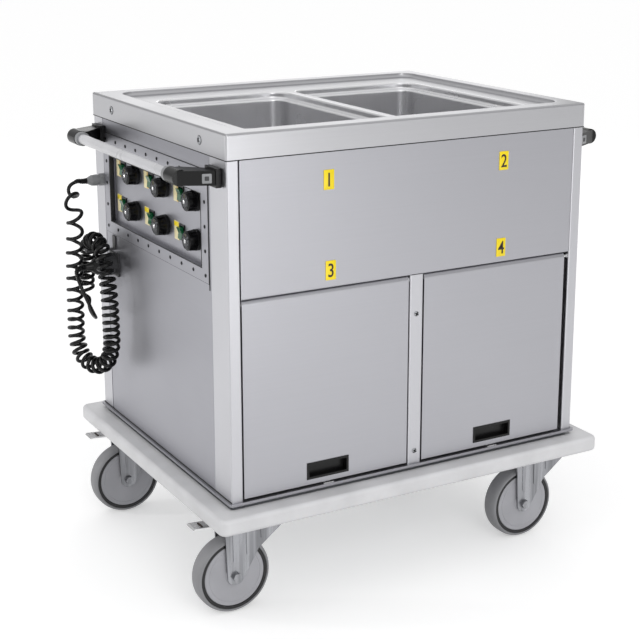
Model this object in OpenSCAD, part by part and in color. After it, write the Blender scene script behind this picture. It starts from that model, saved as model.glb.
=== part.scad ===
/* [Body] */
// Length of the body along its front
body_w = 785; // [770:5:860]
// Depth of the body from front to back
body_d = 635; // [625:5:700]
// Height of the top rim above the floor
total_h = 915; // [905:5:940]
// Height of the front panel from the apron down to the doors
front_h = 253; // [244:1:262]
// How far the cladding stands behind the face of the apron
sheet_t = 1.5; // [1.2:0.1:2]
// Width of a corner post on the front
post_w = 25; // [22:1:30]
// Width of a front corner post on the end of the body
post_side_front = 70; // [60:1:72]
// Width of a back corner post on the end of the body
post_side_back = 50; // [45:1:52]
// Depth of the jamb folded back from a post
jamb_d = 20; // [18:1:21]
// Seam between a post and the panel beside it
seam = 1; // [0.5:0.1:1.5]
// Outer radius of a bend in sheet
bend_r = 3; // [2.5:0.5:5]
// Depth of the edge folded back from a panel
fold_d = 14; // [8:1:15]

/* [Top deck] */
// Height of the apron round the top
apron_h = 46; // [40:1:52]
// Width of the rim in front of the recess
rim_front = 40; // [36:1:44]
// Width of the rim behind the recess
rim_back = 36; // [30:1:44]
// Width of the rim left of the recess
rim_left = 45; // [36:1:48]
// Width of the rim right of the recess
rim_right = 30; // [28:1:48]
// Depth of the recess
recess_depth = 9; // [7:1:12]
// Corner radius of the recess
recess_r = 28; // [22:1:34]
// Radius of the fillet round the floor of the recess
recess_fillet = 8; // [4:1:8]
// Outer radius of the folded edges of the deck
deck_edge_r = 4; // [3:0.5:5]

/* [Wells] */
// Width of one well at its top
well_w = 298; // [280:1:300]
// Length of one well from front to back
well_l = 460; // [430:1:465]
// Depth of a well below the recess
well_depth = 200; // [150:5:210]
// Width of the land between the two wells
well_land = 21; // [18:1:26]
// Distance from the recess's front edge to the wells
well_setback = 14; // [13:1:18]
// Corner radius of a well
well_r = 36; // [32:1:44]
// Width of the ledge that carries a pan
ledge_w = 12; // [8:1:14]
// Depth of the ledge below the recess
ledge_depth = 14; // [12:1:20]
// Radius of the fillet round the floor of a well
well_fillet = 16; // [12:1:20]
// Diameter of a heating rod
heater_dia = 8; // [6:0.5:10]
// Distance between the runs of a heating rod
heater_pitch = 60; // [50:1:66]

/* [Doors] */
// Thickness of a door
door_t = 18; // [16:1:18]
// Thickness of the sheet of a door
skin_t = 1.2; // [1:0.1:1.5]
// Gap under the doors
door_gap_bottom = 4; // [3.5:0.1:6]
// Gap over the doors
door_gap_top = 0.6; // [0.5:0.1:1.5]
// Gap at each side of the left door
door_gap_left = 2; // [2:0.5:4]
// Gap between the right door and its post
door_gap_right = 11; // [3:1:16]
// Left edge of the mullion, from the left end of the body
mullion_x = 381; // [370:1:390]
// Width of the mullion
mullion_w = 30; // [26:1:34]
// Width of a grip
grip_w = 90; // [80:1:110]
// Height of a grip
grip_h = 33; // [26:1:36]
// Height of a grip above the lower edge of its door
grip_up = 10; // [5:1:12]
// Depth of the finger recess in a grip
grip_depth = 14; // [10:1:14]
// Diameter of a hinge pin
hinge_pin_dia = 8; // [5:0.5:9]
// Width of a catch under a door
catch_w = 22; // [16:1:30]

/* [Base] */
// Thickness of the bumper rail
bumper_h = 32; // [26:1:34]
// How far the bumper stands out from the body
bumper_out = 40; // [30:1:44]
// Radius of the edges of the bumper
bumper_edge_r = 8; // [5:1:12]
// Corner radius of the bumper
bumper_corner_r = 16; // [14:1:30]
// Height of the chassis
chassis_h = 31; // [28:1:34]
// Corner radius of the chassis inside the bumper
chassis_r = 5; // [4:1:16]
// Wall of the chassis
chassis_t = 3; // [2.5:0.5:4]
// Width of the chassis rails that carry the castors
rail_w = 120; // [116:1:130]
// Height of the plinth between the chassis and the body
plinth_h = 13; // [11:1:16]
// How far the plinth's edge stands out from the body
plinth_out = 4; // [2:1:6]

/* [Castors] */
// Diameter of a wheel
wheel_dia = 150; // [142:1:152]
// Width of a tyre
wheel_w = 38; // [34:1:40]
// Height of a castor
castor_h = 192; // [190:1:198]
// Distance from the swivel axis to the wheel's axle
trail = 36; // [30:1:42]
// Distance from the end of the body to the swivel axis
castor_inset_x = 57; // [56:1:60]
// Distance from the front of the body to the swivel axis
castor_inset_y = 53; // [50:1:58]
// Diameter of an axle bolt
axle_dia = 10; // [8:1:12]
// Length of a castor's top plate
plate_l = 105; // [100:1:110]
// Width of a castor's top plate
plate_w = 85; // [80:1:90]
// Thickness of a castor's top plate
plate_t = 4; // [3:0.5:4]
// Thickness of a fork's leg
leg_t = 3.5; // [2.5:0.5:4]
// Width of a brake pedal
pedal_w = 32; // [26:1:34]
// How far a brake pedal reaches out from its pin
pedal_reach = 66; // [56:1:68]

/* [Control panel] */
// Distance from the front of the body to the control cover
cover_y = 79; // [76:1:82]
// Width of the control cover
cover_w = 500; // [490:1:502]
// Distance from the top rim to the upper edge of the control cover
cover_drop = 76; // [72:1:80]
// Height of the control cover
cover_h = 207; // [204:1:212]
// Width of the opening in the control cover
window_w = 442; // [430:1:446]
// Height of the opening in the control cover
window_h = 136; // [135:1:140]
// Depth of the control tray behind the cover
tray_depth = 11; // [8:1:14]
// Spacing of the knobs from front to back
knob_pitch_y = 143; // [138:1:144]
// Spacing of the two rows of knobs
knob_pitch_z = 73.5; // [64:0.5:76]
// Diameter of a knob
knob_dia = 40; // [32:1:44]
// Length of a knob
knob_l = 24; // [18:1:28]
// Diameter of a thermostat's spindle
spindle_dia = 6; // [5:0.5:8]
// Distance from a knob to the switch behind it
switch_offset = 67; // [62:1:69]
// Width of a switch
switch_w = 24; // [22:1:26]
// Height of a switch
switch_h = 31; // [29:1:33]
// Diameter of a rivet's head
rivet_dia = 7; // [5:0.5:8]
// Number of rivets along the cover
rivets_along = 10; // [8:1:12]
// Number of rivets up the cover
rivets_up = 5; // [4:1:6]

/* [Handles] */
// Diameter of a handle tube
handle_dia = 20; // [18:1:24]
// Distance from the end of the body to the tube's axis
handle_out = 62; // [58:1:70]
// Distance from the top rim down to the tube's axis
handle_drop = 79; // [74:1:84]
// Distance from the front of the body to the middle of the front bracket's foot
handle_inset = 42; // [38:1:44]
// How far a bracket's socket stands in from its foot
socket_in = 32; // [26:1:36]
// Wall of the socket round the tube
socket_t = 5; // [4:0.5:8]

/* [Cord] */
// Diameter of the cord
cord_dia = 7.5; // [7.5:0.5:8]
// Mean radius of a curl
curl_r = 14.5; // [14.5:0.1:14.6]
// Diameter of the plug
plug_dia = 38; // [34:1:42]
// Diameter of the gland
gland_dia = 24; // [20:1:26]

/* [Hidden] */
$fn = 64;

// Clearance of a pin or shaft in its hole, and of loose fits, per side
running = 0.05;
loose = 0.3;
// Straight steps in a quarter bend
bend_steps = 6;
// How far a cutting solid runs past what it cuts
over = 1;

bumper_top = castor_h + bumper_h;
chassis_top = castor_h + chassis_h;
body_z = chassis_top + plinth_h;
door_line_z = total_h - apron_h - front_h;
panel_top = total_h - apron_h + 26;
post_top = total_h - deck_edge_r - 1;
face = sheet_t;

recess_w = body_w - rim_left - rim_right;
recess_l = body_d - rim_front - rim_back;
recess_z = total_h - recess_depth;
wells_x = (body_w - 2 * well_w - well_land) / 2;
well_x = [wells_x, wells_x + well_w + well_land];
well_y = rim_front + well_setback;
well_floor_z = recess_z - well_depth;

mullion_end = mullion_x + mullion_w;
door_z = body_z + door_gap_bottom;
door_top = door_line_z - door_gap_top;
hinge_r = door_t / 2;
hinge_z = door_top - hinge_r;
hinge_y = face + hinge_r;
door_left_x = post_w + door_gap_left;
door_left_w = mullion_x - door_gap_left - 1 - door_left_x;
door_right_x = mullion_end + 2;
door_right_w = body_w - post_w - door_gap_right - door_right_x;
liner_y = face + door_t + 4.5;
liner_end = body_d - 30;
liner_top = door_line_z - 2;
liner_left = post_w + 2;
liner_split = mullion_x + mullion_w / 2;

cover_z = total_h - cover_drop - cover_h;
window_y = cover_y + (cover_w - window_w) / 2;
window_z = cover_z + (cover_h - window_h) / 2 - 10;
tray_x = tray_depth;
knob_y = [for (i = [0:2]) cover_y + cover_w / 2 - 39 + (i - 1) * knob_pitch_y];
knob_z = [for (i = [0:1]) window_z + window_h / 2 + 10.5 + (0.5 - i) * knob_pitch_z];
spindle_r = spindle_dia / 2;
rocker_w = 16.4;
rocker_h = 22;
rocker_pin_r = 1.5;
rocker_tilt = 7;
rocker_x = tray_x + 1;

wheel_r = wheel_dia / 2;
axle_r = axle_dia / 2;
leg_y = wheel_w / 2 + 2;
fork_half = leg_y + leg_t;
crown_z = castor_h - 19;
crown_t = 4;
hub_r = 61;
crown_back = 57;
crown_front = 62;
crown_drop = 12;
foot_r = 17;
kingpin_r = 7;
race_gap = 0.4;
cup_top = crown_z + crown_t + 6;
pedal_x = 48;
pedal_z = castor_h - 29;
pedal_pin_r = 3;
castor_xy = [
    [castor_inset_x, castor_inset_y],
    [body_w - castor_inset_x, castor_inset_y],
    [castor_inset_x, body_d - castor_inset_y],
    [body_w - castor_inset_x, body_d - castor_inset_y],
];

handle_r = handle_dia / 2;
socket_r = handle_r + socket_t;
handle_y = [handle_inset + socket_in, body_d - handle_inset - socket_in];
handle_z = total_h - handle_drop;

// ---- Helpers ----

// Puts children, drawn from the body's front left corner, into the shared frame
module from_corner() {
    translate([-body_w / 2, -body_d / 2, 0]) children();
}

// Points of an arc round c from angle a0 to a1
function arc(c, r, a0, a1) = [
    for (i = [0:bend_steps])
        let (a = a0 + (a1 - a0) * i / bend_steps)
        [c[0] + r * cos(a), c[1] + r * sin(a)]
];

// Rectangle with round corners, from its lower left corner
module rounded(w, d, r) {
    translate([r, 0]) square([w - 2 * r, d]);
    translate([0, r]) square([w, d - 2 * r]);
    for (x = [r, w - r]) for (y = [r, d - r]) translate([x, y]) circle(r = r);
}

// Sweeps a profile (x outward, y up) round a rectangle with round corners
module swept(w, d, r) {
    for (side = [0, 1]) {
        translate([r, side * d, 0]) mirror([0, 1 - side, 0])
            rotate([90, 0, 90]) linear_extrude(w - 2 * r) children();
        translate([side * w, d - r, 0]) mirror([1 - side, 0, 0])
            rotate([90, 0, 0]) linear_extrude(d - 2 * r) children();
    }
    translate([w - r, d - r, 0]) rotate_extrude(angle = 90) translate([r, 0]) children();
    translate([r, d - r, 0]) rotate([0, 0, 90]) rotate_extrude(angle = 90) translate([r, 0]) children();
    translate([r, r, 0]) rotate([0, 0, 180]) rotate_extrude(angle = 90) translate([r, 0]) children();
    translate([w - r, r, 0]) rotate([0, 0, 270]) rotate_extrude(angle = 90) translate([r, 0]) children();
}

// Cylinder along +X
module rod_x(r, l) {
    rotate([0, 90, 0]) cylinder(r = r, h = l);
}

// Cylinder along Y, centred
module rod_y(r, l) {
    rotate([90, 0, 0]) cylinder(r = r, h = l, center = true);
}

// Sheet folded back at both ends: a face of width w with returns of depth d
module folded_strip(w, d) {
    polygon(concat(
        [[0, d]],
        arc([bend_r, bend_r], bend_r, 180, 270),
        arc([w - bend_r, bend_r], bend_r, 270, 360),
        [[w, d], [w - sheet_t, d]],
        arc([w - bend_r, bend_r], bend_r - sheet_t, 360, 270),
        arc([bend_r, bend_r], bend_r - sheet_t, 270, 180),
        [[sheet_t, d]]
    ));
}

// ---- Top ----

module apron_profile() {
    e = deck_edge_r;
    polygon(concat(
        [[0, total_h - apron_h]],
        arc([-e, total_h - e], e, 0, 90),
        arc([-e, total_h - e], e - sheet_t, 90, 0),
        [[-sheet_t, total_h - apron_h]]
    ));
}

module recess_profile() {
    e = deck_edge_r;
    f = recess_fillet;
    polygon(concat(
        arc([e, total_h - e], e, 90, 180),
        arc([-f, recess_z + f], f, 0, -90),
        arc([-f, recess_z + f], f + sheet_t, -90, 0),
        arc([e, total_h - e], e - sheet_t, 180, 90)
    ));
}

module well_openings() {
    e = deck_edge_r;
    for (x = well_x)
        translate([x - e, well_y - e]) rounded(well_w + 2 * e, well_l + 2 * e, well_r + e);
}

module top_deck() {
    e = deck_edge_r;
    f = recess_fillet;
    color("silver") from_corner() {
        swept(body_w, body_d, e) apron_profile();
        translate([rim_left, rim_front, 0]) swept(recess_w, recess_l, recess_r) recess_profile();
        translate([0, 0, total_h - sheet_t]) linear_extrude(sheet_t) difference() {
            translate([e, e]) square([body_w - 2 * e, body_d - 2 * e]);
            translate([rim_left - e, rim_front - e])
                rounded(recess_w + 2 * e, recess_l + 2 * e, recess_r + e);
        }
        translate([0, 0, recess_z - sheet_t]) linear_extrude(sheet_t) difference() {
            translate([rim_left + f, rim_front + f])
                rounded(recess_w - 2 * f, recess_l - 2 * f, recess_r - f);
            well_openings();
        }
    }
}

module well_profile() {
    e = deck_edge_r;
    ledge_z = recess_z - ledge_depth;
    polygon(concat(
        arc([e, recess_z - e], e, 90, 180),
        arc([-e, ledge_z + e], e, 0, -90),
        arc([-ledge_w + e, ledge_z - e], e, 90, 180),
        arc([-ledge_w - well_fillet, well_floor_z + well_fillet], well_fillet, 0, -90),
        arc([-ledge_w - well_fillet, well_floor_z + well_fillet], well_fillet + sheet_t, -90, 0),
        arc([-ledge_w + e, ledge_z - e], e - sheet_t, 180, 90),
        arc([-e, ledge_z + e], e + sheet_t, -90, 0),
        arc([e, recess_z - e], e - sheet_t, 180, 90)
    ));
}

module well(x) {
    inset = ledge_w + well_fillet;
    color("gainsboro") from_corner() translate([x, well_y, 0]) {
        swept(well_w, well_l, well_r) well_profile();
        translate([inset, inset, well_floor_z - sheet_t]) linear_extrude(sheet_t)
            rounded(well_w - 2 * inset, well_l - 2 * inset, well_r - inset);
    }
}

module well_left() { well(well_x[0]); }
module well_right() { well(well_x[1]); }

// One rod bent into four runs under a well
module heating_element(x) {
    r = heater_dia / 2;
    bend = heater_pitch / 2;
    run = well_l - 2 * (ledge_w + well_fillet) - 2 * bend - 20;
    y0 = well_y + (well_l - run) / 2;
    x0 = x + well_w / 2 - 1.5 * heater_pitch;
    translate([x0, y0, well_floor_z - sheet_t - loose - r]) {
        for (i = [0:3])
            translate([i * heater_pitch, 0, 0]) rotate([-90, 0, 0]) cylinder(r = r, h = run);
        for (i = [0:2])
            translate([(i + 0.5) * heater_pitch, i % 2 == 0 ? run : 0, 0])
                rotate([0, 0, i % 2 == 0 ? 0 : 180])
                rotate_extrude(angle = 180) translate([bend, 0]) circle(r = r);
    }
}

module heating_elements() {
    color("dimgray") from_corner() for (x = well_x) heating_element(x);
}

// ---- Body ----

// Section of a corner post: end leg, front leg and jamb, from the outer corner
module post_section(side) {
    b = bend_r;
    t = sheet_t;
    w = post_w - face;
    polygon(concat(
        [[0, side - face]],
        arc([b, b], b, 180, 270),
        arc([w - b, b], b, 270, 360),
        [[w, jamb_d], [w - t, jamb_d]],
        arc([w - b, b], b - t, 360, 270),
        arc([b, b], b - t, 270, 180),
        [[t, side - face]]
    ));
}

module corner_posts() {
    h = post_top - body_z;
    color("silver") from_corner() for (right = [0, 1]) {
        translate([right * body_w, 0, 0]) mirror([right, 0, 0]) {
            translate([face, face, body_z]) linear_extrude(h) post_section(post_side_front);
            translate([face, body_d - face, body_z]) mirror([0, 1, 0])
                linear_extrude(h) post_section(post_side_back);
        }
    }
}

module front_panel() {
    w = body_w - 2 * (post_w + seam);
    color("silver") from_corner() translate([post_w + seam, face, 0])
        rotate([90, 0, 90]) linear_extrude(w) polygon(concat(
            [[0, panel_top]],
            arc([bend_r, door_line_z + bend_r], bend_r, 180, 270),
            [[fold_d, door_line_z], [fold_d, door_line_z + sheet_t]],
            arc([bend_r, door_line_z + bend_r], bend_r - sheet_t, 270, 180),
            [[sheet_t, panel_top]]
        ));
}

// Panel on the left end, drawn as a folded strip along Y
module end_panel() {
    y0 = post_side_front + seam;
    w = body_d - post_side_back - seam - y0;
    translate([face, y0, body_z]) mirror([1, 0, 0]) rotate([0, 0, 90])
        linear_extrude(panel_top - body_z) folded_strip(w, fold_d);
}

module left_panel() {
    color("silver") from_corner() difference() {
        end_panel();
        translate([-over, window_y, window_z]) cube([tray_x + over, window_w, window_h]);
    }
}

module right_panel() {
    color("silver") from_corner() translate([body_w, 0, 0]) mirror([1, 0, 0]) end_panel();
}

module back_panel() {
    w = body_w - 2 * (post_w + seam);
    color("silver") from_corner() translate([post_w + seam, body_d - face, body_z])
        mirror([0, 1, 0]) linear_extrude(panel_top - body_z) folded_strip(w, fold_d);
}

module mullion() {
    color("silver") from_corner() translate([mullion_x, face, body_z])
        linear_extrude(door_line_z - body_z) folded_strip(mullion_w, jamb_d);
}

// Screw with a low domed head whose base lies on z = 0
module screw_head(r) {
    cylinder(r = r, h = 1);
    translate([0, 0, 1]) cylinder(r1 = r, r2 = r * 0.6, h = 1);
}

module frame_screws() {
    color("gray") from_corner() {
        for (z = [body_z + 26, door_line_z - 77])
            translate([mullion_x + mullion_w / 2, face, z]) rotate([90, 0, 0]) screw_head(5);
        for (right = [0, 1]) for (y = [107, body_d - 107])
            translate([right * body_w, y, total_h - 25]) mirror([right, 0, 0])
                rotate([0, -90, 0]) screw_head(5.5);
    }
}

// Cupboard box, open to the front
module cupboard(x, w) {
    h = liner_top - body_z;
    color("lightgray") from_corner() translate([x, liner_y, body_z]) difference() {
        cube([w, liner_end - liner_y, h]);
        translate([skin_t, -over, skin_t])
            cube([w - 2 * skin_t, liner_end - liner_y - skin_t + over, h - 2 * skin_t]);
    }
}

module cupboard_left() { cupboard(liner_left, liner_split - 0.5 - liner_left); }
module cupboard_right() { cupboard(liner_split + 0.5, body_w - liner_left - liner_split - 0.5); }

// ---- Doors ----

module door_shape(w, inset) {
    y0 = face + inset;
    translate([inset, y0, door_z + inset]) cube([w - 2 * inset, door_t - 2 * inset, hinge_z - door_z - inset]);
    translate([inset, hinge_y, hinge_z]) rod_x(hinge_r - inset, w - 2 * inset);
}

// Pan that opens to the back, its top edge rolled round the hinge line, with its inner plate
module door(x, w) {
    grip_x = (w - grip_w) / 2;
    lining = skin_t + running;
    color("silver") from_corner() translate([x, 0, 0]) {
        difference() {
            door_shape(w, 0);
            door_shape(w, skin_t);
            translate([skin_t, hinge_y, door_z + skin_t])
                cube([w - 2 * skin_t, door_t, hinge_z - door_z - skin_t]);
            translate([-over, hinge_y, hinge_z]) rod_x(hinge_pin_dia / 2 + running, w + 2 * over);
            translate([grip_x + 3, 0, door_z + grip_up + 3]) cube([grip_w - 6, door_t / 2, grip_h - 6]);
        }
        translate([lining, face + door_t - skin_t, door_z + lining])
            cube([w - 2 * lining, skin_t, hinge_z - door_z - lining - running]);
    }
}

// Recessed finger cup with a thin frame on the face of the door
module grip(x, w) {
    wall = 1.5;
    grip_x = x + (w - grip_w) / 2;
    cup_w = grip_w - 6 - 2 * running;
    cup_h = grip_h - 6 - 2 * running;
    cup_x = grip_x + 3 + running;
    cup_z = door_z + grip_up + 3 + running;
    color("black") from_corner() difference() {
        union() {
            translate([grip_x, face - 1, door_z + grip_up]) cube([grip_w, 1, grip_h]);
            translate([cup_x, face - 1, cup_z]) cube([cup_w, grip_depth + wall, cup_h]);
        }
        translate([cup_x + wall, face - 1 - over, cup_z + wall])
            cube([cup_w - 2 * wall, grip_depth - 1 + over, cup_h - 2 * wall]);
    }
}

module door_left() { door(door_left_x, door_left_w); }
module door_right() { door(door_right_x, door_right_w); }
module grip_left() { grip(door_left_x, door_left_w); }
module grip_right() { grip(door_right_x, door_right_w); }

// Hinge pin from a jamb at x, reaching in the direction dir over a gap into a door
module hinge_pin(x, dir, gap) {
    translate([x, hinge_y, hinge_z]) mirror([dir < 0 ? 1 : 0, 0, 0]) {
        rod_x(hinge_pin_dia / 2, gap + 6);
        rod_x(hinge_pin_dia / 2 + 2, min(gap - 1, 2));
    }
}

module door_pins() {
    color("gray") from_corner() {
        hinge_pin(post_w, 1, door_left_x - post_w);
        hinge_pin(mullion_x, -1, mullion_x - door_left_x - door_left_w);
        hinge_pin(mullion_end, 1, door_right_x - mullion_end);
        hinge_pin(body_w - post_w, -1, body_w - post_w - door_right_x - door_right_w);
    }
}

module door_catches() {
    color("gray") from_corner()
        for (x = [door_left_x + door_left_w / 2, door_right_x + door_right_w / 2])
            translate([x - catch_w / 2, -2, body_z]) {
                cube([catch_w, 12, 2]);
                translate([0, 8, 0]) cube([catch_w, 4, door_gap_bottom - 1]);
            }
}

// ---- Base ----

module plinth() {
    o = plinth_out;
    shadow = 10;
    color("silver") from_corner() {
        translate([-o, -o, body_z - sheet_t]) linear_extrude(sheet_t)
            rounded(body_w + 2 * o, body_d + 2 * o, chassis_r);
        translate([-o, -o, body_z - 5]) linear_extrude(5) difference() {
            rounded(body_w + 2 * o, body_d + 2 * o, chassis_r);
            translate([sheet_t, sheet_t])
                rounded(body_w + 2 * (o - sheet_t), body_d + 2 * (o - sheet_t), chassis_r - sheet_t);
        }
        translate([shadow, shadow, chassis_top]) linear_extrude(plinth_h) difference() {
            rounded(body_w - 2 * shadow, body_d - 2 * shadow, chassis_r);
            translate([sheet_t, sheet_t])
                rounded(body_w - 2 * (shadow + sheet_t), body_d - 2 * (shadow + sheet_t), chassis_r - sheet_t);
        }
    }
}

// Rounded edge that runs round the bumper
module bumper_edge() {
    e = bumper_edge_r;
    polygon(concat(arc([0, castor_h + e], e, -90, 0), arc([0, bumper_top - e], e, 0, 90)));
}

module bumper() {
    o = bumper_out - bumper_edge_r;
    r = bumper_corner_r - bumper_edge_r;
    color("darkgray") from_corner() difference() {
        translate([-o, -o, 0]) {
            swept(body_w + 2 * o, body_d + 2 * o, r) bumper_edge();
            translate([0, 0, castor_h]) linear_extrude(bumper_h)
                rounded(body_w + 2 * o, body_d + 2 * o, r);
        }
        translate([0, 0, castor_h - over]) linear_extrude(bumper_h + 2 * over)
            rounded(body_w, body_d, chassis_r);
    }
}

// Folded tray with an inward flange that carries the castors
module chassis() {
    t = chassis_t;
    color("gray") from_corner() difference() {
        translate([0, 0, castor_h]) linear_extrude(chassis_h) rounded(body_w, body_d, chassis_r);
        translate([t, t, castor_h + t]) linear_extrude(chassis_h - 2 * t)
            rounded(body_w - 2 * t, body_d - 2 * t, chassis_r - t);
        translate([rail_w, rail_w, castor_h - over])
            cube([body_w - 2 * rail_w, body_d - 2 * rail_w, t + 2 * over]);
        for (p = castor_xy) translate([p[0], p[1], castor_h - over]) plate_holes(t + 2 * over);
    }
}

// ---- Castors ----

bolt_r = 4;
bolt_dx = plate_l / 2 - 12;
bolt_dy = plate_w / 2 - 12;

module plate_holes(h) {
    for (x = [-bolt_dx, bolt_dx]) for (y = [-bolt_dy, bolt_dy])
        translate([x, y, 0]) cylinder(r = bolt_r + running, h = h);
}

// Top plate with its race and kingpin, and its four bolts with their nuts
module castor_plate() {
    color("lightsteelblue") {
        difference() {
            translate([-plate_l / 2, -plate_w / 2, castor_h - plate_t])
                linear_extrude(plate_t) rounded(plate_l, plate_w, 8);
            translate([0, 0, castor_h - plate_t - over]) plate_holes(plate_t + 2 * over);
        }
        translate([0, 0, cup_top + race_gap])
            cylinder(r = 28, h = castor_h - plate_t - cup_top - race_gap);
        translate([0, 0, crown_z - loose]) cylinder(r = kingpin_r, h = castor_h - crown_z);
        translate([0, 0, crown_z - loose - 4]) cylinder(r = kingpin_r + 4, h = 4);
    }
    color("gray") for (x = [-bolt_dx, bolt_dx]) for (y = [-bolt_dy, bolt_dy])
        translate([x, y, castor_h - plate_t - running]) {
            mirror([0, 0, 1]) cylinder(r = 7, h = 3.5, $fn = 6);
            cylinder(r = bolt_r, h = plate_t + chassis_t + 8);
            translate([0, 0, plate_t + chassis_t + 2 * running]) cylinder(r = 7.5, h = 6, $fn = 6);
        }
}

module castor_plates() {
    from_corner() for (p = castor_xy) translate([p[0], p[1], 0]) castor_plate();
}

// Point where the tangent from p touches the circle of radius r round c
function touch(p, c, r, side) =
    let (
        d = norm(p - c),
        a = atan2(p[1] - c[1], p[0] - c[0]) + side * acos(r / d)
    )
    c + r * [cos(a), sin(a)];

// Leg of a fork, its front edge drawn in a little between the crown and the axle
module leg_outline() {
    axle = [-trail, wheel_r];
    front = [crown_front, crown_z - crown_drop];
    back = [-crown_back, crown_z - crown_drop];
    waist = [(crown_front - trail) / 2 - 1, (front[1] + wheel_r) / 2 + 5];
    // The straight edges end just inside the round foot
    reach = foot_r - 0.1;
    translate(axle) circle(r = foot_r);
    polygon([
        [-crown_back, crown_z + crown_t],
        back,
        touch(back, axle, reach, 1),
        axle,
        touch(waist, axle, reach, -1),
        waist,
        front,
        [crown_front, crown_z + crown_t],
    ]);
}

// Raised rib on the outside of a leg, from the crown down to height z
module leg_rib(x, z) {
    polygon([
        [x - 7, crown_z + 1], [x - 5.5, z + 4], [x - 2.5, z],
        [x + 2.5, z], [x + 5.5, z + 4], [x + 7, crown_z + 1],
    ]);
}

module fork() {
    color("lightsteelblue") difference() {
        union() {
            for (s = [-1, 1]) translate([0, s * (leg_y + leg_t / 2), 0]) rotate([90, 0, 0])
                linear_extrude(leg_t, center = true) leg_outline();
            for (s = [-1, 1]) translate([0, s * (fork_half + 0.5), 0]) rotate([90, 0, 0])
                linear_extrude(1.4, center = true) {
                    leg_rib(-36, wheel_r + 27);
                    leg_rib(-8, wheel_r + 37);
                    leg_rib(22, wheel_r + 64);
                }
            translate([-crown_back, -fork_half, crown_z])
                cube([crown_back + crown_front, 2 * fork_half, crown_t]);
            translate([0, 0, crown_z]) cylinder(r1 = 42, r2 = 36, h = cup_top - crown_z);
            translate([-pedal_x, 0, pedal_z]) rod_y(pedal_pin_r, 2 * leg_y + 1);
        }
        translate([0, 0, crown_z - over]) cylinder(r = kingpin_r + running, h = cup_top - crown_z + 2 * over);
        translate([-trail, 0, wheel_r]) rod_y(axle_r + running, 2 * fork_half + 10);
    }
    color("gray") axle_bolt();
}

// Axle bolt with a hexagon head at the front and a nut at the back
module axle_bolt() {
    half = fork_half + running;
    translate([-trail, 0, wheel_r]) {
        rod_y(axle_r, 2 * half + 14);
        for (s = [-1, 1]) translate([0, s * half, 0]) rotate([-s * 90, 0, 0])
            cylinder(r = axle_r * 1.8, h = 7, $fn = 6);
    }
}

module hub_profile() {
    bore = axle_r + running;
    half = wheel_w / 2 + 1.6;
    rim = wheel_w / 2 - 4;
    disc = rim - 1;
    polygon([
        [bore, -half], [15, -half], [16, -half + 1], [18, -disc], [hub_r - 6, -disc], [hub_r - 4, -rim],
        [hub_r, -rim], [hub_r, rim], [hub_r - 4, rim], [hub_r - 6, disc], [18, disc],
        [16, half - 1], [15, half], [bore, half],
    ]);
}

module tyre_profile() {
    inner = hub_r + running;
    w = wheel_w / 2;
    polygon(concat(
        [[inner, -w + 4], [inner + 4, -w]],
        [for (i = [0:8]) let (a = -80 + 20 * i)
            [wheel_r - 8 + 8 * cos(a), (w - 8) * sin(a) + 8 * sin(a)]],
        [[inner + 4, w], [inner, w - 4]]
    ));
}

module wheel() {
    translate([-trail, 0, wheel_r]) rotate([90, 0, 0]) {
        color("lightgray") rotate_extrude() hub_profile();
        color("gray") rotate_extrude() tyre_profile();
    }
}

// Brake pedal: a boss on its pin and a stepped plate that reaches out past the fork
module pedal() {
    t = 3;
    boss_r = 6;
    tip = -pedal_x - pedal_reach;
    neck = -pedal_x - 18;
    color("gainsboro") difference() {
        union() {
            translate([-pedal_x, 0, pedal_z]) rod_y(boss_r, pedal_w);
            rotate([90, 0, 0]) linear_extrude(pedal_w, center = true) polygon([
                [-pedal_x, pedal_z - 2], [-pedal_x, pedal_z + boss_r - 2],
                [neck, pedal_z + boss_r], [neck - 10, pedal_z + 19],
                [tip, pedal_z + 22], [tip - 3, pedal_z + 19], [tip - 2, pedal_z + 18],
                [tip + 1, pedal_z + 19], [neck - 8, pedal_z + 19 - t], [neck + 1, pedal_z + 2],
            ]);
        }
        translate([-pedal_x, 0, pedal_z]) rod_y(pedal_pin_r + running, pedal_w + 2 * over);
    }
}

module at_castor(i) {
    from_corner() translate([castor_xy[i][0], castor_xy[i][1], 0]) children();
}

module fork_front_left() { at_castor(0) fork(); }
module fork_front_right() { at_castor(1) fork(); }
module fork_back_left() { at_castor(2) fork(); }
module fork_back_right() { at_castor(3) fork(); }
module wheel_front_left() { at_castor(0) wheel(); }
module wheel_front_right() { at_castor(1) wheel(); }
module wheel_back_left() { at_castor(2) wheel(); }
module wheel_back_right() { at_castor(3) wheel(); }
module pedal_front_left() { at_castor(0) pedal(); }
module pedal_front_right() { at_castor(1) pedal(); }
module pedal_back_left() { at_castor(2) pedal(); }
module pedal_back_right() { at_castor(3) pedal(); }

// ---- Control panel ----

module control_cover() {
    color("silver") from_corner() difference() {
        translate([0, cover_y, cover_z]) cube([face, cover_w, cover_h]);
        translate([-over, window_y, window_z]) cube([face + 2 * over, window_w, window_h]);
    }
}

// Tray behind the cover, its flange lying on the back of the end panel
module control_tray() {
    flange = 10;
    back = 2 * sheet_t;
    color("silver") from_corner() difference() {
        union() {
            translate([back, window_y - flange, window_z - flange])
                cube([sheet_t, window_w + 2 * flange, window_h + 2 * flange]);
            translate([back, window_y - sheet_t, window_z - sheet_t])
                cube([tray_x + sheet_t - back, window_w + 2 * sheet_t, window_h + 2 * sheet_t]);
        }
        translate([back - over, window_y, window_z]) cube([tray_x - back + over, window_w, window_h]);
        for (y = knob_y) for (z = knob_z) {
            translate([0, y, z]) rod_x(spindle_r + 1, 2 * tray_x);
            translate([0, y + switch_offset - switch_w / 2 + 1.8, z - switch_h / 2 + 1.8])
                cube([2 * tray_x, switch_w - 3.6, switch_h - 3.6]);
        }
    }
}

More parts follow.
